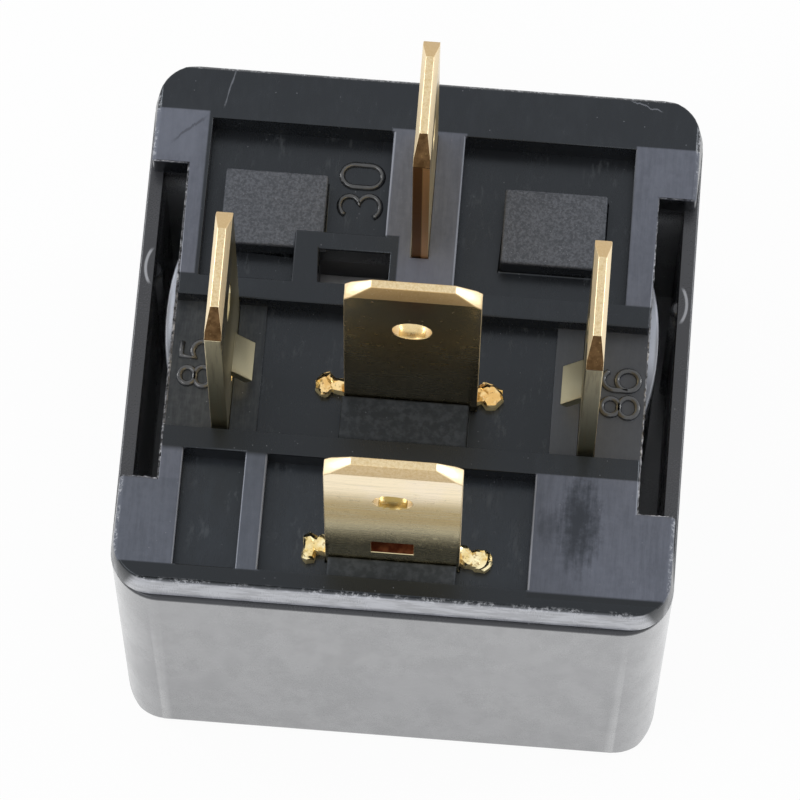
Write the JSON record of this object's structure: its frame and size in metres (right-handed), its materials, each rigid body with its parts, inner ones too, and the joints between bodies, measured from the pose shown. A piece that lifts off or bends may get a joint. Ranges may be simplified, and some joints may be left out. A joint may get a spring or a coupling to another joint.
{
  "type": "automotive relay",
  "caption": "Square black plug-in change-over relay with a ribbed header, flat brass blade terminals and a hinged armature inside.",
  "frame": {"origin": "centre of the outer face of the cover's closed end, which the relay stands on here", "axes": "+Z from the closed end towards the blade tips; +Y towards the side with terminal 30, whose blade stands along Y; +X towards terminal 86"},
  "size_m": [0.027, 0.0274, 0.0356],
  "materials": {
    "cover_plastic": "smooth black moulding",
    "header_plastic": "satin black moulding with brushed and grained areas",
    "terminal_brass": "bright stamped",
    "magnet_iron": "zinc plated soft iron",
    "bobbin_plastic": "natural moulding",
    "winding_copper": "enamelled copper wire",
    "coil_tape": "amber film",
    "spring_bronze": "rolled bronze",
    "contact_silver": "silver alloy",
    "rivet_steel": "plated"
  },
  "bodies": {
    "case": {"cover": "cover_plastic", "header": "header_plastic", "terminal_30": "terminal_brass", "terminal_85": "terminal_brass", "terminal_86": "terminal_brass", "terminal_87": "terminal_brass", "terminal_87a": "terminal_brass", "yoke": "magnet_iron", "core": "magnet_iron", "bobbin": "bobbin_plastic", "coil_winding": "winding_copper", "coil_tape": "coil_tape", "coil_lead_85": "winding_copper", "coil_lead_86": "winding_copper", "fixed_contact_no": "contact_silver", "fixed_contact_nc": "contact_silver", "yoke_rivets": "rivet_steel", "terminal_rivet": "rivet_steel"},
    "switch_arm": {"armature": "magnet_iron", "contact_spring": "spring_bronze", "moving_contact": "contact_silver", "armature_rivets": "rivet_steel"}
  },
  "joints": [
    {"name": "armature_hinge", "type": "hinge", "parent": "case", "child": "switch_arm", "pos_m": [0, 0.01055, 0.00584], "axis": [-1, 0, 0], "range_deg": [0, 2.8], "stiffness_Nm_per_rad": 0.03, "springref_deg": -8.59, "deforming": ["contact_spring"]}
  ]
}
